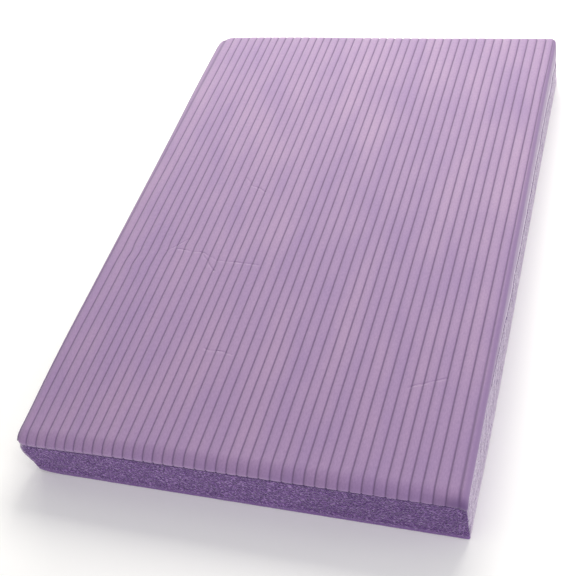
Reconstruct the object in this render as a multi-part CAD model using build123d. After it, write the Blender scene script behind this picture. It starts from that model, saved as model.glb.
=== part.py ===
from build123d import *
import math
import os

# A flat slab of closed-cell foam, cut from a thick moulded sheet.
# The sheet's ribbed top skin and its smooth underside skin are bonded to the foam between them.
# The cut dragged the top skin down around the edge, so the skin rolls over into a low shoulder.
# Frame: origin at the centre of the underside, X across the ribs, Y along them, Z up. Millimetres.

# Overall size
pad_length = 370.0
pad_width = 250.0
pad_thickness = 35.0

# Corners, seen from above: the two at the front are tighter than the two at the rear
front_corner_radius = 4.0
rear_corner_radius = 12.0

# Shoulder, where the top falls away towards the cut sides
shoulder_run = 12.0
shoulder_drop = 4.5

# Skins
top_skin_thickness = 1.0
underside_skin_thickness = 1.5
underside_edge_radius = 1.0

# Ribs: lands between narrow grooves
rib_pitch = 6.0
groove_width = 0.9
groove_depth = 0.5
plain_edge_width = 4.0

# How far the trimming forms pass the pad: in millimetres, and in degrees of the shoulder's arc
trim_overrun = 5.0
trim_overrun_angle = 12.0


def plan_outline():
    """The cut outline, on the ground plane."""
    outline = Rectangle(pad_width, pad_length)
    by_length = outline.vertices().group_by(Axis.Y)
    outline = fillet(by_length[0], front_corner_radius)
    by_length = outline.vertices().group_by(Axis.Y)
    return fillet(by_length[-1], rear_corner_radius)


def shoulder_section(span, top):
    """An upright section: flat top, and an arc at each end that falls away past the cut side."""
    radius = (shoulder_run**2 + shoulder_drop**2) / (2 * shoulder_drop)
    sweep = 2 * math.degrees(math.atan(shoulder_drop / shoulder_run)) + trim_overrun_angle
    flat = span / 2 - shoulder_run
    right_roll = JernArc((flat, top), (1, 0), radius, -sweep)
    left_roll = JernArc((-flat, top), (-1, 0), radius, sweep)
    right_foot = ((right_roll @ 1).X, -trim_overrun)
    left_foot = ((left_roll @ 1).X, -trim_overrun)
    base = Polyline(right_roll @ 1, right_foot, left_foot, left_roll @ 1)
    top_line = Line((-flat, top), (flat, top))
    return make_face([right_roll, left_roll, top_line, *base.edges()])


def slab(depth):
    """The pad's outer form, with its top and shoulders lowered by depth."""
    top = pad_thickness - depth
    across_section = Plane.XZ * shoulder_section(pad_width, top)
    along_section = Plane.YZ * shoulder_section(pad_length, top)
    across = extrude(across_section, pad_length / 2 + trim_overrun, both=True)
    along = extrude(along_section, pad_width / 2 + trim_overrun, both=True)
    return extrude(plan_outline(), pad_thickness + trim_overrun) & across & along


def groove_places():
    """X of each groove: one on the centre line, and as many beside it as the plain edges leave."""
    pairs = int((pad_width / 2 - plain_edge_width - groove_width / 2) // rib_pitch)
    return [rib_pitch * step for step in range(-pairs, pairs + 1)]


def ribbed_top_skin():
    """A sheet that follows the top and shoulders, with grooves that keep their depth over the roll."""
    base_sheet = slab(groove_depth) - slab(top_skin_thickness)
    lands = slab(0) - slab(groove_depth)
    cutter = Box(groove_width, pad_length + 2 * trim_overrun, 2 * pad_thickness)
    lands -= [Pos(x, 0, pad_thickness) * cutter for x in groove_places()]
    return base_sheet + lands


def foam_core():
    """The cellular foam between the two skins, open to view on the four cut sides."""
    underside = extrude(plan_outline(), underside_skin_thickness)
    return slab(top_skin_thickness) - underside


def underside_skin():
    """The smooth skin that lies on the floor, slightly rounded along its lower edge."""
    sheet = extrude(plan_outline(), underside_skin_thickness)
    lower_edges = sheet.edges().group_by(Axis.Z)[0]
    return fillet(lower_edges, underside_edge_radius)


def write_parts():
    os.makedirs("parts", exist_ok=True)
    export_step(ribbed_top_skin(), "parts/ribbed_top_skin.step")
    export_step(foam_core(), "parts/foam_core.step")
    export_step(underside_skin(), "parts/underside_skin.step")


write_parts()
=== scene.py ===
import math

import bmesh
import bpy
import numpy as np
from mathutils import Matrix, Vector, noise


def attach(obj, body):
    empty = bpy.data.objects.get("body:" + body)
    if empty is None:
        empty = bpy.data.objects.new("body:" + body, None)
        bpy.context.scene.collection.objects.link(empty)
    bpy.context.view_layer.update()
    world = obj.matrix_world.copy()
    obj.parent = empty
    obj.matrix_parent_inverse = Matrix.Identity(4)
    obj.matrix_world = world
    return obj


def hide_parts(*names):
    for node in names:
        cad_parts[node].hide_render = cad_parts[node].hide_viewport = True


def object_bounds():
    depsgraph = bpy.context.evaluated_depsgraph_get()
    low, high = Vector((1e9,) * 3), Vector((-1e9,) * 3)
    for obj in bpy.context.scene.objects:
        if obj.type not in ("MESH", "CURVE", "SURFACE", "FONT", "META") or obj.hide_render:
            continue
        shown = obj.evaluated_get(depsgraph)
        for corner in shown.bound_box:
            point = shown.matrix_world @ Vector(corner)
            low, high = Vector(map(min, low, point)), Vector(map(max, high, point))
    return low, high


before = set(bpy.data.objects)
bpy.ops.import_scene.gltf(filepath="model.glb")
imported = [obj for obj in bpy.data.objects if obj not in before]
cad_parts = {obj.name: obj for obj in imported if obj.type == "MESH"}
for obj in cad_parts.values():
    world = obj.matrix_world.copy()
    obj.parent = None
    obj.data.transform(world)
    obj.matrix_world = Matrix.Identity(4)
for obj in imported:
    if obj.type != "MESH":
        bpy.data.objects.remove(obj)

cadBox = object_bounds()
mm = 0.001
flatStep = 0.01  # while a sheet is still flat, each skirt ring lies this much lower, so it can be told apart

# the ideal block: centred on the origin, resting on the floor
halfWidth = cadBox[1].x
halfLength = cadBox[1].y
padTop = cadBox[1].z

# seen from above, the cut corners
cornerRadius = {
    "frontLeft": 4.0 * mm,
    "frontRight": 1.2 * mm,
    "rearLeft": 12.5 * mm,
    "rearRight": 4.5 * mm,
}

# how the top skin rolls down to each cut side: how far in it starts, and how far it falls
shoulder = {
    "front": (8.5 * mm, 3.8 * mm),
    "rear": (3.5 * mm, 0.6 * mm),
    "left": (3.2 * mm, 1.2 * mm),
    "right": (3.4 * mm, 2.0 * mm),
}

# how the cut pad bows and sags away from a true block
settleLook = {
    "sideReach": 6 * mm,  # how far in from a side its bow still pulls
    "rearReach": 22 * mm,
    "bowLength": 60 * mm,
    "leftBow": 0.9 * mm,  # the left side bulges towards the rear
    "leftSwell": 0.3 * mm,  # and a little all the way from the front corner
    "rightBow": 0.5 * mm,  # the right side bulges at the floor
    "rightPinch": 0.9 * mm,  # but is drawn in at the front right corner
    "pinchLength": 45 * mm,
    "rearRightBow": 0.5 * mm,  # and swells out at the rear right corner
    "rearBow": 1.0 * mm,  # the rear bulges towards the left
    "rearSlant": 0.1 * mm,  # and falls back towards the right
    "slantReach": 0.625,  # a share of half the width
    "cornerSag": 2.5 * mm,  # the front left corner is pressed down
    "sagReach": 40 * mm,
    "cornerBulge": 3.8 * mm,  # so its side swells out
    "bulgeLength": 15 * mm,
    "bulgeRise": (0.47, 0.3),  # the middle and spread of that swelling, as shares of the thickness
    "cornerLift": 3.0 * mm,  # and its foot is lifted off the floor and rounded
    "liftReach": 9 * mm,
    "footRound": 2.3 * mm,
    "footRise": 0.15,  # a share of the thickness
    "undulation": 0.15 * mm,
    "undulationSize": 45 * mm,
}


def smoothStep(t):
    t = np.clip(t, 0.0, 1.0)
    return t * t * (3 - 2 * t)


def hump(t, centre, width):
    return np.exp(-(((t - centre) / width) ** 2))


def meshPoints(obj):
    flat = np.zeros(len(obj.data.vertices) * 3, np.float32)
    obj.data.vertices.foreach_get("co", flat)
    return flat.reshape(-1, 3).astype(float)


def moveMesh(obj, points):
    obj.data.vertices.foreach_set("co", points.astype(np.float32).ravel())
    obj.data.update()


def storeMask(obj, name, values):
    mask = obj.data.attributes.new(name, "FLOAT", "POINT")
    mask.data.foreach_set("value", np.asarray(values, np.float32))


def readMask(obj, name):
    values = np.zeros(len(obj.data.vertices), np.float32)
    obj.data.attributes[name].data.foreach_get("value", values)
    return values.astype(float)


def softNoise(points, size, seed):
    shift = Vector((17.3, 5.1, 9.7)) * seed
    return np.array([noise.noise(Vector(p) / size + shift) for p in points])


def radiusAt(x, y):
    front = np.where(x < 0, cornerRadius["frontLeft"], cornerRadius["frontRight"])
    rear = np.where(x < 0, cornerRadius["rearLeft"], cornerRadius["rearRight"])
    return np.where(y < 0, front, rear)


def outlineEnd(x, side):
    # y where the outline crosses x, at the front (side -1) or the rear (side 1)
    radius = radiusAt(x, np.full_like(x, side))
    into = np.clip(np.abs(x) - (halfWidth - radius), 0, radius)
    return side * (halfLength - radius + np.sqrt(radius**2 - into**2))


def outwardAt(x, y):
    # the way out of the outline, for points on it
    radius = radiusAt(x, y)
    out = np.stack(
        [
            np.sign(x) * np.clip(np.abs(x) - (halfWidth - radius), 0, None),
            np.sign(y) * np.clip(np.abs(y) - (halfLength - radius), 0, None),
        ],
        -1,
    )
    return out / np.maximum(np.linalg.norm(out, axis=1, keepdims=True), 1e-9)


def rollDrop(inset, roll):
    run, drop = roll
    radius = (run**2 + drop**2) / (2 * drop)
    into = np.clip(run - inset, 0, run)
    return radius - np.sqrt(radius**2 - into**2)


def shoulderDrop(x, y):
    return (
        rollDrop(y + halfLength, shoulder["front"])
        + rollDrop(halfLength - y, shoulder["rear"])
        + rollDrop(x + halfWidth, shoulder["left"])
        + rollDrop(halfWidth - x, shoulder["right"])
    )


def settle(points):
    # the same lean, bow and sag for every piece, so that they stay together
    look = settleLook
    x, y, z = points.T.copy()
    rise = np.clip(z / padTop, 0, 1.1)
    toLeft = smoothStep((look["sideReach"] - halfWidth - x) / look["sideReach"])
    toRight = smoothStep((look["sideReach"] - halfWidth + x) / look["sideReach"])
    toRear = smoothStep((look["rearReach"] - halfLength + y) / look["rearReach"])
    leftMove = look["leftBow"] * hump(y, 0.75 * halfLength, look["bowLength"])
    leftMove += look["leftSwell"] * smoothStep((y + halfLength) / look["pinchLength"])
    swell = hump(y, -halfLength, look["bulgeLength"]) * hump(rise, *look["bulgeRise"])
    leftMove += look["cornerBulge"] * swell
    pinch = look["rightPinch"] * hump(y, -halfLength, look["pinchLength"])
    rightMove = (look["rightBow"] - pinch) * np.clip(1 - rise, 0, 1)
    rightMove += look["rearRightBow"] * hump(y, halfLength, look["pinchLength"])
    cornerDistance = np.hypot(x + halfWidth, y + halfLength)
    nearCorner = hump(cornerDistance, 0, look["liftReach"])
    foot = look["footRound"] * nearCorner * hump(rise, 0, look["footRise"])
    newX = x - toLeft * (leftMove - foot) + toRight * rightMove
    rearMove = look["rearBow"] * hump(x, -0.5 * halfWidth, look["bowLength"])
    rearMove -= look["rearSlant"] * smoothStep(x / halfWidth / look["slantReach"])
    newY = y + toRear * rearMove
    sag = look["cornerSag"] * hump(cornerDistance, 0, look["sagReach"])
    wave = look["undulation"] * softNoise(np.stack([x, y, 0 * z], -1), look["undulationSize"], 3)
    lift = look["cornerLift"] * nearCorner * np.clip(1 - rise, 0, 1)
    newZ = z + rise**2 * (wave - sag) + lift
    return np.stack([newX, newY, newZ], -1)


def pickOnly(obj):
    bpy.ops.object.select_all(action="DESELECT")
    obj.select_set(True)
    bpy.context.view_layer.objects.active = obj


def pickEdges(obj, wanted):
    # selects the edges whose two ends pass the test, with obj in edit mode
    bpy.ops.mesh.select_mode(type="EDGE")
    bpy.ops.mesh.select_all(action="DESELECT")
    mesh = bmesh.from_edit_mesh(obj.data)
    for edge in mesh.edges:
        edge.select_set(bool(wanted(edge)))
    bmesh.update_edit_mesh(obj.data)


def edgeMiddle(edge):
    return (edge.verts[0].co + edge.verts[1].co) / 2


def runsAcross(edge):
    return abs(edge.verts[0].co.y - edge.verts[1].co.y) < 1e-6


def addGrid(name, acrossPlaces, alongPlaces):
    # a flat grid with its lines at the given places
    bpy.ops.object.select_all(action="DESELECT")
    bpy.ops.mesh.primitive_grid_add(
        x_subdivisions=len(acrossPlaces) - 1,
        y_subdivisions=len(alongPlaces) - 1,
        size=1,
        location=(0, 0, 0),
    )
    obj = bpy.context.object
    obj.name = name
    points = meshPoints(obj)
    column = np.rint((points[:, 0] + 0.5) * (len(acrossPlaces) - 1)).astype(int)
    row = np.rint((points[:, 1] + 0.5) * (len(alongPlaces) - 1)).astype(int)
    points[:, 0] = np.array(acrossPlaces)[column]
    points[:, 1] = np.array(alongPlaces)[row]
    moveMesh(obj, points)
    return obj


def cutEdges(obj, wanted, cuts):
    pickEdges(obj, wanted)
    bpy.ops.mesh.subdivide(number_cuts=cuts)


def addSkirt(obj, rings):
    pickEdges(obj, lambda edge: edge.is_boundary)
    for _ in range(rings):
        bpy.ops.mesh.extrude_edges_move(TRANSFORM_OT_translate={"value": (0, 0, -flatStep)})


def crowdEnds(places, halfSize, zone, power):
    # gathers evenly spaced lines within zone of each end towards that end
    depth = np.clip((halfSize - np.abs(places)) / zone, 0, 1)
    crowded = halfSize - zone * depth**power
    return np.where(depth < 1, np.sign(places) * crowded, places)


def applyModifier(obj, kind, **settings):
    pickOnly(obj)
    modifier = obj.modifiers.new(kind.title(), kind)
    for key, value in settings.items():
        setattr(modifier, key, value)
    bpy.ops.object.modifier_apply(modifier=modifier.name)


def smoothShade(obj, degrees):
    pickOnly(obj)
    bpy.ops.object.shade_smooth_by_angle(angle=math.radians(degrees))


cameraLook = {
    "place": (0.1936, -0.4267, 0.4670),
    "turn": (42.60, 11.03, 16.18),  # degrees; the camera is held tilted
    "lens": 64.0,
}

lightLook = {
    # place, width, height, watts, tint; all are aimed at the pad
    "rearLowSoftbox": ((-0.40, 1.00, 0.35), 1.0, 0.4, 8.0, (1.0, 0.98, 0.90)),
    "rearNearSoftbox": ((0.06, 0.58, 0.66), 0.6, 0.4, 6.3, (1.0, 0.98, 0.90)),
    "frontSoftbox": ((0.30, -1.50, 0.26), 1.2, 0.4, 8.0, (1.0, 0.92, 1.0)),
    "sideSoftbox": ((0.80, -0.20, 0.25), 0.6, 0.3, 2.15, (1.0, 1.0, 1.0)),
}
roomStrength = 0.59
floorLook = {"size": 12, "tone": 0.93, "roughness": 0.9}


def addCamera():
    data = bpy.data.cameras.new("viewCamera")
    data.lens = cameraLook["lens"]
    data.clip_start = 0.01
    camera = bpy.data.objects.new("viewCamera", data)
    bpy.context.scene.collection.objects.link(camera)
    camera.location = cameraLook["place"]
    camera.rotation_euler = [math.radians(a) for a in cameraLook["turn"]]
    bpy.context.scene.camera = camera


def addSoftbox(name, place, width, height, watts, tint):
    data = bpy.data.lights.new(name, "AREA")
    data.shape = "RECTANGLE"
    data.size = width
    data.size_y = height
    data.energy = watts
    data.color = tint
    light = bpy.data.objects.new(name, data)
    bpy.context.scene.collection.objects.link(light)
    light.location = place
    light.rotation_euler = (-Vector(place)).to_track_quat("-Z", "Y").to_euler()


def addRoomLight():
    world = bpy.data.worlds.new("studioRoom")
    world.use_nodes = True
    background = world.node_tree.nodes["Background"]
    background.inputs["Color"].default_value = (1, 1, 1, 1)
    background.inputs["Strength"].default_value = roomStrength
    bpy.context.scene.world = world


def addFloor():
    bpy.ops.object.select_all(action="DESELECT")
    bpy.ops.mesh.primitive_plane_add(size=floorLook["size"], location=(0, 0, 0))
    floor = bpy.context.object
    floor.name = "studioFloor"
    material, tree, shader = newMaterial("paleFloor")
    shader.inputs["Base Color"].default_value = (*[floorLook["tone"]] * 3, 1)
    shader.inputs["Roughness"].default_value = floorLook["roughness"]
    floor.data.materials.append(material)


def paint(red, green, blue):
    # a display colour, 0 to 255, as the linear colour a shader takes
    shares = [c / 255 for c in (red, green, blue)]
    linear = [c / 12.92 if c <= 0.04045 else ((c + 0.055) / 1.055) ** 2.4 for c in shares]
    return (*linear, 1)


def newMaterial(name):
    material = bpy.data.materials.new(name)
    material.use_nodes = True
    tree = material.node_tree
    tree.nodes.clear()
    output = tree.nodes.new("ShaderNodeOutputMaterial")
    shader = tree.nodes.new("ShaderNodeBsdfPrincipled")
    tree.links.new(shader.outputs["BSDF"], output.inputs["Surface"])
    return material, tree, shader


def addNode(tree, kind, inputs=None, **settings):
    # inputs maps a socket's name or number to a value or to another node's output
    node = tree.nodes.new("ShaderNode" + kind)
    for key, value in settings.items():
        setattr(node, key, value)
    for key, value in (inputs or {}).items():
        if isinstance(value, bpy.types.NodeSocket):
            tree.links.new(value, node.inputs[key])
        else:
            node.inputs[key].default_value = value
    return node


def addNoise(tree, vector, scale, detail=2.0, roughness=0.5):
    inputs = {"Vector": vector, "Scale": scale, "Detail": detail, "Roughness": roughness}
    return addNode(tree, "TexNoise", inputs).outputs["Fac"]


def addRange(tree, value, low, high, toLow=0.0, toHigh=1.0):
    inputs = {0: value, 1: low, 2: high, 3: toLow, 4: toHigh}
    return addNode(tree, "MapRange", inputs).outputs[0]


def addMath(tree, operation, first, second):
    return addNode(tree, "Math", {0: first, 1: second}, operation=operation).outputs[0]


def addMix(tree, share, first, second, blend="MIX"):
    node = addNode(tree, "Mix", {0: share, 6: first, 7: second}, data_type="RGBA", blend_type=blend)
    return node.outputs[2]


def newGroup(name, inputs, outputs):
    # inputs and outputs are (name, kind, starting value)
    group = bpy.data.node_groups.new(name, "ShaderNodeTree")
    for label, kind, start in inputs:
        socket = group.interface.new_socket(label, in_out="INPUT", socket_type="NodeSocket" + kind)
        if start is not None:
            socket.default_value = start
    for label, kind in outputs:
        group.interface.new_socket(label, in_out="OUTPUT", socket_type="NodeSocket" + kind)
    entry = group.nodes.new("NodeGroupInput")
    leave = group.nodes.new("NodeGroupOutput")
    return group, entry.outputs, leave.inputs


def makeMottle():
    # two tones in soft patches, with a fine stipple over them
    group, entry, leave = newGroup(
        "foamMottle",
        [
            ("Vector", "Vector", None),
            ("Light Tone", "Color", None),
            ("Deep Tone", "Color", None),
            ("Patch Scale", "Float", 30.0),
            ("Stipple", "Float", 0.1),
        ],
        [("Color", "Color"), ("Patch", "Float")],
    )
    patches = addNoise(group, entry["Vector"], entry["Patch Scale"], 4.0, 0.55)
    share = addRange(group, patches, 0.32, 0.68)
    toned = addMix(group, share, entry["Deep Tone"], entry["Light Tone"])
    stipple = addNoise(group, entry["Vector"], 1400.0, 2.0, 0.6)
    dark = addRange(group, stipple, 0.35, 0.65, 1.0, 0.0)
    amount = addMath(group, "MULTIPLY", dark, entry["Stipple"])
    stippled = addMix(group, amount, toned, entry["Deep Tone"], "MULTIPLY")
    group.links.new(stippled, leave["Color"])
    group.links.new(share, leave["Patch"])
    return group


def makeGrain():
    # the fine surface of moulded foam, as a height
    group, entry, leave = newGroup(
        "foamGrain",
        [("Vector", "Vector", None), ("Coarse", "Float", 500.0), ("Fine", "Float", 2200.0)],
        [("Height", "Float")],
    )
    coarse = addNoise(group, entry["Vector"], entry["Coarse"], 2.0, 0.5)
    fine = addNoise(group, entry["Vector"], entry["Fine"], 2.0, 0.6)
    half = addMath(group, "MULTIPLY", fine, 0.5)
    total = addMath(group, "ADD", coarse, half)
    group.links.new(total, leave["Height"])
    return group


def makeCells():
    # cut-open foam cells: a pit in each, thin walls between, here and there a bright fleck
    group, entry, leave = newGroup(
        "cutCells",
        [("Vector", "Vector", None), ("Cells Per Metre", "Float", 880.0)],
        [("Pit", "Float"), ("Fleck", "Float"), ("Height", "Float")],
    )
    warp = addNode(group, "TexNoise", {"Vector": entry["Vector"], "Scale": 700.0, "Detail": 1.0})
    wobble = addNode(group, "VectorMath", {0: warp.outputs["Color"], "Scale": 0.0008}, operation="SCALE")
    moved = addNode(group, "VectorMath", {0: entry["Vector"], 1: wobble.outputs[0]}, operation="ADD")
    cells = addNode(
        group, "TexVoronoi", {"Vector": moved.outputs[0], "Scale": entry["Cells Per Metre"]}
    )
    small = addMath(group, "MULTIPLY", entry["Cells Per Metre"], 2.1)
    smallCells = addNode(group, "TexVoronoi", {"Vector": moved.outputs[0], "Scale": small})
    near = addMath(group, "MULTIPLY", smallCells.outputs["Distance"], 0.5)
    height = addMath(group, "ADD", cells.outputs["Distance"], near)
    pit = addRange(group, height, 0.35, 0.75, 1.0, 0.0)
    fleck = addRange(group, height, 0.92, 1.1)
    group.links.new(pit, leave["Pit"])
    group.links.new(fleck, leave["Fleck"])
    group.links.new(height, leave["Height"])
    return group


def useGroup(tree, group, inputs):
    return addNode(tree, "Group", inputs, node_tree=group).outputs


def addBump(tree, height, strength, distance, normal=None):
    inputs = {"Height": height, "Strength": strength, "Distance": distance}
    if normal is not None:
        inputs["Normal"] = normal
    return addNode(tree, "Bump", inputs).outputs["Normal"]


skinPaint = {
    "light": (152, 124, 161),
    "deep": (141, 114, 157),
    # painted shade: the groove tone darkens the hollows of the grooves
    "groove": (103, 79, 118),
    "side": (119, 93, 135),  # painted shade where the skin wraps down a side, turned from the light
    "lip": (92, 66, 112),  # painted shade where the front lip rolls down towards the painted shadow under it
    "roughness": 0.55,
    "specular": 0.22,
    "sheen": 0.24,
    "sheenRoughness": 0.6,
}

cutPaint = {
    "light": (112, 82, 135),
    "deep": (100, 70, 126),
    # painted shade: the colour of the hollows in the cut cells
    "pit": (48, 24, 72),
    "fleck": (145, 117, 167),
    "smooth": (111, 83, 134),
    "grazingSheen": (198, 185, 204),  # painted sheen: seen edge-on only the walls between the pits show, painted pale as if lit
    "grazingStarts": 0.68,
    "grazingFull": 0.93,
    "roughness": 0.9,
    "specular": 0.15,
    "sheen": 0.42,
    "sheenRoughness": 0.25,
}

# hairline creases pressed into the skin, each a chain of places from the front left corner
creaseLook = {
    "depth": 0.28 * mm,
    "halfWidth": 1.0 * mm,
    "chains": [
        [(71, 216), (78, 209), (88, 204)],
        [(39, 146), (51, 158)],
        [(46, 149), (63, 148), (76, 142), (103, 141)],
        [(63, 148), (76, 134)],
        [(91, 75), (108, 73)],
        [(211, 64), (229, 73)],
    ],
}


def makeCrease():
    # 1 on the line from Start to End, falling to 0 at Half Width either side of it, seen from above
    group, entry, leave = newGroup(
        "creaseLine",
        [
            ("Vector", "Vector", None),
            ("Start", "Vector", None),
            ("End", "Vector", None),
            ("Half Width", "Float", 0.001),
        ],
        [("Mask", "Float")],
    )

    def vectorMath(operation, first, second):
        return addNode(group, "VectorMath", {0: first, 1: second}, operation=operation).outputs

    flat = vectorMath("MULTIPLY", entry["Vector"], (1, 1, 0))[0]
    gone = vectorMath("SUBTRACT", flat, entry["Start"])[0]
    line = vectorMath("SUBTRACT", entry["End"], entry["Start"])[0]
    along = vectorMath("DOT_PRODUCT", gone, line)["Value"]
    lengthSquared = vectorMath("DOT_PRODUCT", line, line)["Value"]
    share = addRange(group, addMath(group, "DIVIDE", along, lengthSquared), 0.0, 1.0)
    scaled = addNode(group, "VectorMath", {0: line, "Scale": share}, operation="SCALE").outputs[0]
    away = vectorMath("DISTANCE", gone, scaled)["Value"]
    apart = addMath(group, "DIVIDE", away, entry["Half Width"])
    mask = addNode(group, "MapRange", {0: apart, 3: 1.0, 4: 0.0}, interpolation_type="SMOOTHSTEP")
    group.links.new(mask.outputs[0], leave["Mask"])
    return group


def creaseHeight(tree, where, group):
    look = creaseLook
    wobble = addNode(tree, "TexNoise", {"Vector": where, "Scale": 120.0, "Detail": 2.0})
    drift = addNode(tree, "VectorMath", {0: wobble.outputs["Color"], "Scale": 0.003}, operation="SCALE")
    moved = addNode(tree, "VectorMath", {0: where, 1: drift.outputs[0]}, operation="ADD").outputs[0]
    total = 0.0
    for chain in look["chains"]:
        places = [(x * mm - halfWidth, y * mm - halfLength, 0) for x, y in chain]
        for start, end in zip(places, places[1:]):
            line = {"Vector": moved, "Start": start, "End": end, "Half Width": look["halfWidth"]}
            mask = useGroup(tree, group, line)["Mask"]
            total = addMath(tree, "MAXIMUM", total, mask)
    broken = addRange(tree, addNoise(tree, where, 160.0), 0.35, 0.6, 0.3, 1.0)
    return addMath(tree, "MULTIPLY", addMath(tree, "MULTIPLY", total, broken), -1.0)


# painted sheen: the foam is painted pale where it is seen edge-on, less so in the pits
def grazingSheenShare(tree, pit):
    facing = addNode(tree, "LayerWeight", {"Blend": 0.5}).outputs["Facing"]
    share = addRange(tree, facing, cutPaint["grazingStarts"], cutPaint["grazingFull"])
    return addMath(tree, "MULTIPLY", share, addRange(tree, pit, 0.0, 1.0, 1.0, 0.6))


def setFinish(shader, look):
    shader.inputs["Specular IOR Level"].default_value = look["specular"]
    shader.inputs["Sheen Weight"].default_value = look["sheen"]
    shader.inputs["Sheen Roughness"].default_value = look["sheenRoughness"]


def skinMaterial(groups):
    look = skinPaint
    material, tree, shader = newMaterial("ribbedSkin")
    where = addNode(tree, "TexCoord").outputs["Object"]
    stretched = addNode(tree, "Mapping", {"Vector": where, "Scale": (1.0, 0.35, 1.0)}).outputs[0]
    tones = {
        "Vector": stretched,
        "Light Tone": paint(*look["light"]),
        "Deep Tone": paint(*look["deep"]),
        "Patch Scale": 42.0,
        "Stipple": 0.16,
    }
    base = useGroup(tree, groups["mottle"], tones)
    # painted shade in the grooves, darker where a point lies deeper
    grooveShadeMask = addNode(tree, "Attribute", attribute_name="groove").outputs["Fac"]
    skinWithPaintedShade = addMix(tree, grooveShadeMask, base["Color"], paint(*look["groove"]))
    # painted shade where the skin turns down a side
    sideShadeMask = addNode(tree, "Attribute", attribute_name="side").outputs["Fac"]
    skinWithPaintedShade = addMix(tree, sideShadeMask, skinWithPaintedShade, paint(*look["side"]))
    # painted shade on the front lip's roll
    lipShadeMask = addNode(tree, "Attribute", attribute_name="lip").outputs["Fac"]
    skinWithPaintedShade = addMix(tree, lipShadeMask, skinWithPaintedShade, paint(*look["lip"]))
    cells = useGroup(tree, groups["cells"], {"Vector": where})
    cutMask = addNode(tree, "Attribute", attribute_name="cut").outputs["Fac"]
    ragged = addMath(tree, "ADD", cutMask, addNoise(tree, where, 260.0, 3.0, 0.6))
    cutShare = addRange(tree, ragged, 0.9, 1.5)
    # where the skirt's rim wears through to cut foam: painted shade in its pits, and a painted sheen where
    # it is seen edge-on
    cutTone = addMix(tree, cells["Pit"], paint(*cutPaint["light"]), paint(*cutPaint["deep"]))
    cutTone = addMix(tree, grazingSheenShare(tree, cells["Pit"]), cutTone, paint(*cutPaint["grazingSheen"]))
    color = addMix(tree, cutShare, skinWithPaintedShade, cutTone)
    tree.links.new(color, shader.inputs["Base Color"])
    rough = addRange(tree, base["Patch"], 0.0, 1.0, look["roughness"] + 0.06, look["roughness"] - 0.04)
    tree.links.new(rough, shader.inputs["Roughness"])
    grain = useGroup(tree, groups["grain"], {"Vector": where})["Height"]
    normal = addBump(tree, grain, 0.22, 0.0003)
    cellHeight = addMath(tree, "MULTIPLY", cells["Height"], cutShare)
    normal = addBump(tree, cellHeight, 0.6, 0.0004, normal)
    normal = addBump(tree, creaseHeight(tree, where, groups["crease"]), 1.0, creaseLook["depth"], normal)
    tree.links.new(normal, shader.inputs["Normal"])
    setFinish(shader, look)
    return material


def cutMaterial(groups):
    look = cutPaint
    material, tree, shader = newMaterial("cutFoam")
    where = addNode(tree, "TexCoord").outputs["Object"]
    tones = {
        "Vector": where,
        "Light Tone": paint(*look["light"]),
        "Deep Tone": paint(*look["deep"]),
        "Patch Scale": 130.0,
        "Stipple": 0.2,
    }
    base = useGroup(tree, groups["mottle"], tones)
    cells = useGroup(tree, groups["cells"], {"Vector": where})
    # painted shade in the cells' pits
    pitShaded = addMix(tree, cells["Pit"], base["Color"], paint(*look["pit"]))
    flecked = addMix(tree, cells["Fleck"], pitShaded, paint(*look["fleck"]))
    # painted shadow under the skin's lip and painted shade towards the right, on the front face
    frontShadeMask = addNode(tree, "Attribute", attribute_name="frontShade").outputs["Fac"]
    flecked = addMix(tree, frontShadeMask, flecked, paint(*look["pit"]))
    smoothMask = addNode(tree, "Attribute", attribute_name="smooth").outputs["Fac"]
    ragged = addMath(tree, "ADD", smoothMask, addNoise(tree, where, 300.0, 3.0, 0.6))
    smoothShare = addRange(tree, ragged, 0.75, 1.4, 0.0, 0.9)
    smoothed = addMix(tree, smoothShare, flecked, paint(*look["smooth"]))
    # painted sheen where the foam is seen edge-on
    color = addMix(tree, grazingSheenShare(tree, cells["Pit"]), smoothed, paint(*look["grazingSheen"]))
    tree.links.new(color, shader.inputs["Base Color"])
    rough = addRange(tree, smoothShare, 0.0, 1.0, look["roughness"], 0.65)
    tree.links.new(rough, shader.inputs["Roughness"])
    grain = useGroup(tree, groups["grain"], {"Vector": where, "Coarse": 900.0})["Height"]
    openShare = addMath(tree, "SUBTRACT", 1.0, smoothShare)
    normal = addBump(tree, grain, 0.3, 0.0003)
    cellHeight = addMath(tree, "MULTIPLY", cells["Height"], openShare)
    normal = addBump(tree, cellHeight, 0.9, 0.0006, normal)
    tree.links.new(normal, shader.inputs["Normal"])
    setFinish(shader, look)
    return material


def undersideMaterial(groups):
    look = skinPaint
    material, tree, shader = newMaterial("undersideSkin")
    where = addNode(tree, "TexCoord").outputs["Object"]
    tones = {
        "Vector": where,
        "Light Tone": paint(*look["light"]),
        "Deep Tone": paint(*look["deep"]),
        "Patch Scale": 55.0,
        "Stipple": 0.2,
    }
    base = useGroup(tree, groups["mottle"], tones)
    tree.links.new(base["Color"], shader.inputs["Base Color"])
    rough = addRange(tree, base["Patch"], 0.0, 1.0, 0.62, 0.5)
    tree.links.new(rough, shader.inputs["Roughness"])
    grain = useGroup(tree, groups["grain"], {"Vector": where, "Coarse": 380.0})["Height"]
    tree.links.new(addBump(tree, grain, 0.35, 0.0004), shader.inputs["Normal"])
    setFinish(shader, look)
    return material


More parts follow.
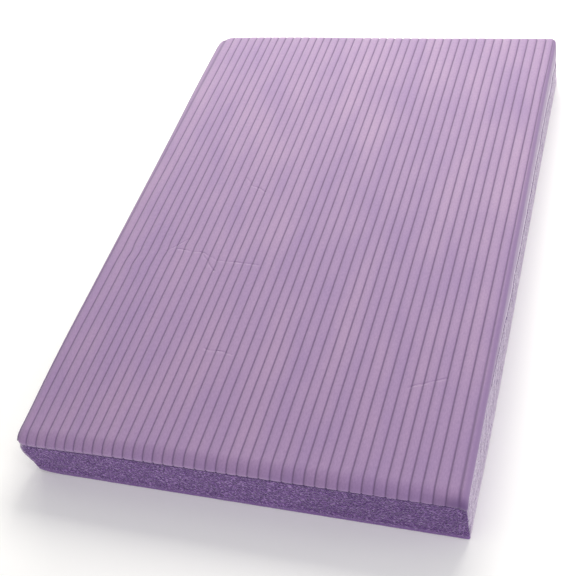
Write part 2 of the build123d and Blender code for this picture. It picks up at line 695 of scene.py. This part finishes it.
ribLook = {
    "grooves": 42,
    "pitch": 5.978 * mm,
    "firstGroove": 2.512 * mm,  # from the left side, at mid-length
    "lastGroove": 247.0 * mm,
    "pitchSwing": 0.27 * mm,  # the mould's pitch swings a little, over this many ribs
    "swingRibs": 7.6,
    "swingStart": 2.2,
    "skew": 0.011,  # the ribs run this much off the sides' line
    "grooveHalf": 0.75 * mm,  # from a groove's middle to where its round lips end
    "depth": 0.45 * mm,
    "crown": 0.04 * mm,
    "wander": 0.12 * mm,  # the ribs waver sideways a little
    "wanderSize": 40 * mm,
    "heldLeft": 3.0 * mm,  # but less than this far from a side they follow it
    "heldRight": 5.5 * mm,
    # where a crease jogs the ribs sideways: place from the front left corner, and the jog, in mm
    "jogs": [(15, 143, 0.7), (24, 132, -0.7), (38, 146, 0.6), (50, 151, -0.6), (76, 136, 0.4)],
    "jogReach": (7.0 * mm, 4.5 * mm),
    "jogRows": (122 * mm, 162 * mm, 2 * mm),  # rows of points stand closer here: from, to, apart
    "thickness": 1.0 * mm,
    "endZone": 12 * mm,  # rows of points gather towards the ends within this much
    "endCuts": 15,
    "endCrowding": 1.7,
    "rowGap": 5.0 * mm,
    "grooveSegments": 4,
    "landCuts": 2,
    "edgeLandCuts": 7,
    "sideBand": 3.6 * mm,  # the skin takes its painted side shade within this much of a side
    "lipBand": 5.5 * mm,  # and its painted lip shade within this much of the front
    "lipCorner": 14 * mm,  # most of all this near the front right corner
    "lipShades": (0.02, 0.2, 0.78),  # how strong the painted lip shade is: all along, more towards the right, more at the corner
}

# how far the skin comes down each cut side below its rolled edge
skirtLook = {
    "rings": 7,
    "blend": 6 * mm,  # one side's depth gives way to the next within this much of a corner
    "least": 0.9 * mm,
    "front": 1.1 * mm,
    "frontSlant": 0.9 * mm,  # more than that at the front left corner, and less at the front right
    "left": 4.5 * mm,
    "leftStart": 8 * mm,  # reached this far behind the front
    "right": 1.0 * mm,
    "rightMore": 13 * mm,
    "rightStart": 0.1,  # where the right side starts to gain that, as a share of the length
    "rightGrowth": 0.35,  # and how long it takes
    "rear": 1.2 * mm,
    "waveSize": 14 * mm,
    "swell": 0.25 * mm,  # it stands out this much half-way down
    "tuck": 0.1 * mm,  # and its rim turns in this much
    "sideTuck": 0.25 * mm,  # and more away from the front
    "ribsEnd": 2.5 * mm,  # the grooves run this far down it
    "cutStart": 1.5 * mm,  # a skirt deeper than this wears through to cut foam at its rim
    "cutGrowth": 3 * mm,
}


def grooveMiddles():
    look = ribLook
    step = np.arange(look["grooves"])
    swing = look["pitchSwing"] * np.sin(2 * math.pi * (step - look["swingStart"]) / look["swingRibs"])
    places = look["firstGroove"] + look["pitch"] * step + swing
    places[-1] = look["lastGroove"]
    return places - halfWidth


def nearFront(y):
    return smoothStep((skirtLook["blend"] - halfLength - y) / skirtLook["blend"])


def skirtDepth(x, y):
    look = skirtLook
    blend = look["blend"]
    along = (y + halfLength) / (2 * halfLength)
    wave = 0.5 + 0.5 * softNoise(np.stack([x, y, 0 * x], -1), look["waveSize"], 5)
    toRight = smoothStep((x - halfWidth + blend) / blend)
    toRear = smoothStep((y - halfLength + blend) / blend)
    toLeft = smoothStep((blend - halfWidth - x) / blend) * smoothStep((y + halfLength) / look["leftStart"])
    frontDepth = look["front"] - look["frontSlant"] * x / halfWidth
    growth = smoothStep((along - look["rightStart"]) / look["rightGrowth"])
    rightDepth = (look["right"] + look["rightMore"] * growth) * (0.8 + 0.4 * wave)
    depth = look["least"] + frontDepth * nearFront(y) + look["rear"] * toRear * wave
    return depth + look["left"] * toLeft + rightDepth * toRight


def makeTopSkin(material):
    look = ribLook
    middles = grooveMiddles()
    rows = 2 + int((2 * halfLength - 2 * look["endZone"]) / look["rowGap"])
    even = np.linspace(-halfLength + look["endZone"], halfLength - look["endZone"], rows - 1)
    closeStart, closeEnd, closeGap = look["jogRows"]
    close = np.arange(closeStart, closeEnd - closeGap / 2, closeGap) - halfLength
    clear = (even < close[0] - closeGap) | (even > close[-1] + closeGap)
    inner = sorted([*even[clear], *close])
    along = [-halfLength, *inner, halfLength]
    skin = addGrid("ribbedTopSkin", [-halfWidth, *middles, halfWidth], along)
    lip = look["grooveHalf"]

    bpy.ops.object.mode_set(mode="EDIT")
    pickEdges(skin, lambda e: not runsAcross(e) and abs(edgeMiddle(e).x) < halfWidth - 1e-5)
    bpy.ops.mesh.bevel(offset=lip, segments=look["grooveSegments"], affect="EDGES", clamp_overlap=False)
    inEndZone = halfLength - look["endZone"]
    cutEdges(skin, lambda e: not runsAcross(e) and abs(edgeMiddle(e).y) > inEndZone, look["endCuts"])
    leftLip, rightLip = middles[0] - lip, middles[-1] + lip

    def onLand(edge):
        return runsAcross(edge) and leftLip < edgeMiddle(edge).x < rightLip and edge.calc_length() > 2 * mm

    def onEdgeLand(edge):
        return runsAcross(edge) and not leftLip < edgeMiddle(edge).x < rightLip

    cutEdges(skin, onLand, look["landCuts"])
    cutEdges(skin, onEdgeLand, look["edgeLandCuts"])
    addSkirt(skin, skirtLook["rings"])
    bpy.ops.object.mode_set(mode="OBJECT")

    shapeTopSkin(skin, middles)
    applyModifier(skin, "SOLIDIFY", thickness=look["thickness"], offset=-1)
    pressRibs(skin)
    moveMesh(skin, settle(meshPoints(skin)))
    smoothShade(skin, 50)
    skin.data.materials.append(material)
    print("ribbed top skin:", len(skin.data.polygons), "faces")
    return skin


def ribRelief(x, middles):
    # how far the surface lies below the lands' crowns
    look = ribLook
    gap = np.abs(x[:, None] - middles[None, :]).min(1)
    groove = look["depth"] * (1 - smoothStep(gap / look["grooveHalf"]))
    land = np.clip((gap - look["grooveHalf"]) / (look["pitch"] / 2 - look["grooveHalf"]), 0, 1)
    return groove + look["crown"] * (1 - land) ** 2


def shapeTopSkin(skin, middles):
    look = ribLook
    flat = meshPoints(skin)
    ring = np.rint(-flat[:, 2] / flatStep)
    straightY = crowdEnds(flat[:, 1], halfLength, look["endZone"], look["endCrowding"])
    leftInset, rightInset = flat[:, 0] + halfWidth, halfWidth - flat[:, 0]
    loose = smoothStep(leftInset / look["heldLeft"]) * smoothStep(rightInset / look["heldRight"])
    # stretched sideways, so that neighbouring ribs waver alike
    waver = softNoise(np.stack([flat[:, 0] / 3, straightY, 0 * straightY], -1), look["wanderSize"], 13)
    sideways = look["skew"] * straightY + look["wander"] * waver
    for jogX, jogY, jog in look["jogs"]:
        nearX = hump(leftInset, jogX * mm, look["jogReach"][0])
        sideways += jog * mm * nearX * hump(straightY + halfLength, jogY * mm, look["jogReach"][1])
    x = flat[:, 0] + sideways * loose
    front, rear = outlineEnd(x, -1), outlineEnd(x, 1)
    y = front + (rear - front) * (straightY + halfLength) / (2 * halfLength)
    z = padTop - shoulderDrop(x, y)
    down = ring / skirtLook["rings"]
    depth = skirtDepth(x, y)
    out = outwardAt(x, y)
    tuck = skirtLook["tuck"] + skirtLook["sideTuck"] * (1 - nearFront(y))
    swell = skirtLook["swell"] * np.sin(math.pi * down) - tuck * down**2
    moveMesh(skin, np.stack([x + out[:, 0] * swell, y + out[:, 1] * swell, z - down * depth], -1))

    ribbed = down * depth < skirtLook["ribsEnd"]
    storeMask(skin, "relief", ribRelief(flat[:, 0], middles) * ribbed)
    deep = smoothStep((depth - skirtLook["cutStart"]) / skirtLook["cutGrowth"])
    storeMask(skin, "cut", down * deep)
    # painted shade down the sides and down deep skirts
    wrapped = smoothStep((look["sideBand"] - halfWidth + np.abs(x)) / look["sideBand"])
    storeMask(skin, "side", np.maximum(wrapped, smoothStep(down * 4) * deep))
    # painted shade on the front lip's roll, growing towards the front right corner
    least, towardsRight, atCorner = look["lipShades"]
    strength = least + towardsRight * smoothStep(x / halfWidth + 0.5)
    strength += atCorner * hump(halfWidth - x, 0, look["lipCorner"])
    rolled = smoothStep(1 - (y + halfLength) / look["lipBand"])
    storeMask(skin, "lip", rolled * strength)


def pressRibs(skin):
    # the grooves are pressed into the outer face only: the first half of the points that Solidify leaves
    points = meshPoints(skin)
    normals = np.zeros(len(points) * 3, np.float32)
    skin.data.vertices.foreach_get("normal", normals)
    relief = readMask(skin, "relief")
    relief[len(points) // 2 :] = 0
    moveMesh(skin, points - normals.reshape(-1, 3) * relief[:, None])
    # how deep each point lies in a groove, which sets the painted groove shade
    storeMask(skin, "groove", np.clip(relief / ribLook["depth"], 0, 1))


coreLook = {
    "gap": 0.64 * mm,  # between points round the sides
    "rings": 45,
    "frontSetback": 0.4 * mm,  # the cut face stands this far behind the skin's lip
    "sideSetback": 0.05 * mm,
    "frontShade": 3.2 * mm,  # painted shadow: the foam is darkened this far below the skin's lip
    "shade": 0.2,  # and painted shade all the way down towards the right of the front face
    "pebble": 0.24 * mm,
    "pebbleSize": 1.25 * mm,
    "blotch": 0.22 * mm,
    "blotchSize": 6 * mm,
    "smoothBand": 4.0 * mm,  # near the floor the cut is smoother
    "bottom": 0.7 * mm,  # it starts this far up, in the underside skin
    "behindSkin": 0.3 * mm,  # and its cut face ends this far above the top skin's rim, behind it
    "tuckInsets": (1.2 * mm, 1.5 * mm, 3.0 * mm, 6.0 * mm, 10.0 * mm),  # its last rings, under the top skin
    "underSkin": 1.25 * mm,  # how far below the skin's face they lie
}


def outlineByLength(shares):
    # points at these shares of the way round the outline
    route = []
    corners = [
        (1, -1, "frontRight", -90),
        (1, 1, "rearRight", 0),
        (-1, 1, "rearLeft", 90),
        (-1, -1, "frontLeft", 180),
    ]
    for sideX, sideY, name, start in corners:
        radius = cornerRadius[name]
        for degrees in np.linspace(start, start + 90, 33):
            turn = math.radians(degrees)
            x = sideX * (halfWidth - radius) + radius * math.cos(turn)
            y = sideY * (halfLength - radius) + radius * math.sin(turn)
            route.append((x, y))
    route.append(route[0])
    route = np.array(route)
    gone = np.concatenate([[0], np.cumsum(np.linalg.norm(np.diff(route, axis=0), axis=1))])
    return np.stack([np.interp(shares * gone[-1], gone, route[:, i]) for i in (0, 1)], -1), gone[-1]


def makeCore(material):
    look = coreLook
    _, around = outlineByLength(np.zeros(1))
    count = int(around / look["gap"])
    bpy.ops.object.select_all(action="DESELECT")
    bpy.ops.mesh.primitive_circle_add(vertices=count, radius=1, fill_type="NOTHING")
    core = bpy.context.object
    core.name = "foamCore"
    circle = meshPoints(core)
    shares = (np.arctan2(circle[:, 1], circle[:, 0]) / (2 * math.pi)) % 1.0
    places, _ = outlineByLength(shares)
    circle[:, :2] = places
    moveMesh(core, circle)

    bpy.ops.object.mode_set(mode="EDIT")
    bpy.ops.mesh.select_all(action="SELECT")
    bpy.ops.mesh.edge_face_add()
    for _ in range(look["rings"] + len(look["tuckInsets"])):
        bpy.ops.mesh.extrude_region_move(TRANSFORM_OT_translate={"value": (0, 0, flatStep)})
    bpy.ops.object.mode_set(mode="OBJECT")

    shapeCore(core)
    smoothShade(core, 80)
    core.data.materials.append(material)
    print("foam core:", len(core.data.polygons), "faces")
    return core


def pebbles(points):
    look = coreLook
    size = look["pebbleSize"]
    cells = np.array([noise.voronoi(Vector(p) / size)[0][0] for p in points])
    grain = softNoise(points, 0.8 * size, 7)
    blotch = softNoise(points, look["blotchSize"], 11)
    return look["pebble"] * ((cells - 0.5) + 0.5 * grain) + look["blotch"] * blotch


def shapeCore(core):
    look = coreLook
    flat = meshPoints(core)
    level = np.rint(flat[:, 2] / flatStep)
    x, y = flat[:, 0], flat[:, 1]
    out = outwardAt(x, y)
    skinEdge = padTop - shoulderDrop(x, y) - skirtDepth(x, y)
    bottom = look["bottom"]
    wallTop = skinEdge + look["behindSkin"]
    share = np.clip(level / look["rings"], 0, 1)
    z = bottom + (wallTop - bottom) * share

    # the last rings turn in under the skin, then the top closes
    tuck = np.clip(level - look["rings"], 0, None).astype(int)
    tuckInset = np.array([0, *look["tuckInsets"]])[tuck]
    scaleX = 1 - tuckInset / halfWidth
    scaleY = 1 - tuckInset / halfLength
    innerX, innerY = x * scaleX, y * scaleY
    underSkin = padTop - shoulderDrop(innerX, innerY) - look["underSkin"]
    z = np.where(tuck > 1, underSkin, z)
    points = np.stack([innerX, innerY, z], -1)

    onWall = (tuck == 0).astype(float)
    belowSkin = smoothStep((wallTop - z) / (1.5 * mm))
    aboveFloor = smoothStep((z - bottom) / look["smoothBand"])
    rough = onWall * (0.25 + 0.75 * belowSkin) * (0.3 + 0.7 * aboveFloor)
    atFront = nearFront(y)
    setback = look["sideSetback"] + look["frontSetback"] * atFront * smoothStep((z - 3 * mm) / (4 * mm))
    moves = rough * pebbles(points) - onWall * setback
    points[:, :2] += out * moves[:, None]
    moveMesh(core, settle(points))
    storeMask(core, "smooth", onWall * (1 - smoothStep((z - bottom) / (1.4 * look["smoothBand"]))))
    # painted shadow below the skin's lip, and painted shade towards the right of the front face
    shadowUnderSkin = 1 - smoothStep((wallTop - z) / look["frontShade"])
    shade = look["shade"] * smoothStep((x / halfWidth - 0.1) / 0.5)
    storeMask(core, "frontShade", onWall * atFront * np.maximum(shadowUnderSkin, shade))


undersideLook = {
    "columnGap": 2.6 * mm,
    "edgeZone": 6 * mm,  # points gather towards its rim within this much
    "edgeCuts": 9,
    "edgeRoll": (1.2 * mm, 1.0 * mm),
    "inset": 0.35 * mm,  # its rim stops this far inside the cut faces
    "thickness": 1.2 * mm,
    "dimple": 0.06 * mm,
    "dimpleSize": 9 * mm,
}


def makeUnderside(material):
    look = undersideLook
    zone, cuts = look["edgeZone"], look["edgeCuts"]
    acrossCount = int((2 * halfWidth - 2 * zone) / look["columnGap"])
    alongCount = int((2 * halfLength - 2 * zone) / look["columnGap"])
    across = [-halfWidth, *np.linspace(-halfWidth + zone, halfWidth - zone, acrossCount), halfWidth]
    along = [-halfLength, *np.linspace(-halfLength + zone, halfLength - zone, alongCount), halfLength]
    sheet = addGrid("undersideSkin", across, along)
    bpy.ops.object.mode_set(mode="EDIT")
    cutEdges(sheet, lambda e: not runsAcross(e) and abs(edgeMiddle(e).y) > halfLength - zone, cuts)
    cutEdges(sheet, lambda e: runsAcross(e) and abs(edgeMiddle(e).x) > halfWidth - zone, cuts)
    bpy.ops.object.mode_set(mode="OBJECT")

    flat = meshPoints(sheet)
    x = crowdEnds(flat[:, 0], halfWidth, zone, 2.0)
    straightY = crowdEnds(flat[:, 1], halfLength, zone, 2.0)
    front, rear = outlineEnd(x, -1), outlineEnd(x, 1)
    y = front + (rear - front) * (straightY + halfLength) / (2 * halfLength)
    inset = np.minimum(halfWidth - np.abs(x), np.minimum(rear - y, y - front))
    dimples = look["dimple"] * (0.5 + 0.5 * softNoise(np.stack([x, y, 0 * x], -1), look["dimpleSize"], 2))
    z = rollDrop(inset, look["edgeRoll"]) + dimples * smoothStep(inset / (10 * mm))
    x *= 1 - look["inset"] / halfWidth
    y *= 1 - look["inset"] / halfLength
    moveMesh(sheet, np.stack([x, y, z], -1))
    pickOnly(sheet)
    bpy.ops.object.mode_set(mode="EDIT")
    bpy.ops.mesh.select_all(action="SELECT")
    bpy.ops.mesh.flip_normals()
    bpy.ops.object.mode_set(mode="OBJECT")
    applyModifier(sheet, "SOLIDIFY", thickness=look["thickness"], offset=-1)
    moveMesh(sheet, settle(meshPoints(sheet)))
    smoothShade(sheet, 50)
    sheet.data.materials.append(material)
    print("underside skin:", len(sheet.data.polygons), "faces")
    return sheet


bpy.context.scene.view_settings.view_transform = "Standard"
addRoomLight()
for lightName, values in lightLook.items():
    addSoftbox(lightName, *values)
addCamera()
addFloor()
print("camera, lights and floor are in place")

groups = {
    "mottle": makeMottle(),
    "grain": makeGrain(),
    "cells": makeCells(),
    "crease": makeCrease(),
}
pieces = [
    (makeTopSkin(skinMaterial(groups)), "ribbed_top_skin", "ribbed_skin", 0.9),
    (makeCore(cutMaterial(groups)), "foam_core", "cut_foam", 0.9),
    (makeUnderside(undersideMaterial(groups)), "underside_skin", "smooth_skin", 0.9),
]
for piece, node, slot, fill in pieces:
    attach(piece, "root")
    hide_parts(node)
bpy.ops.object.select_all(action="DESELECT")

print("the pad is built")
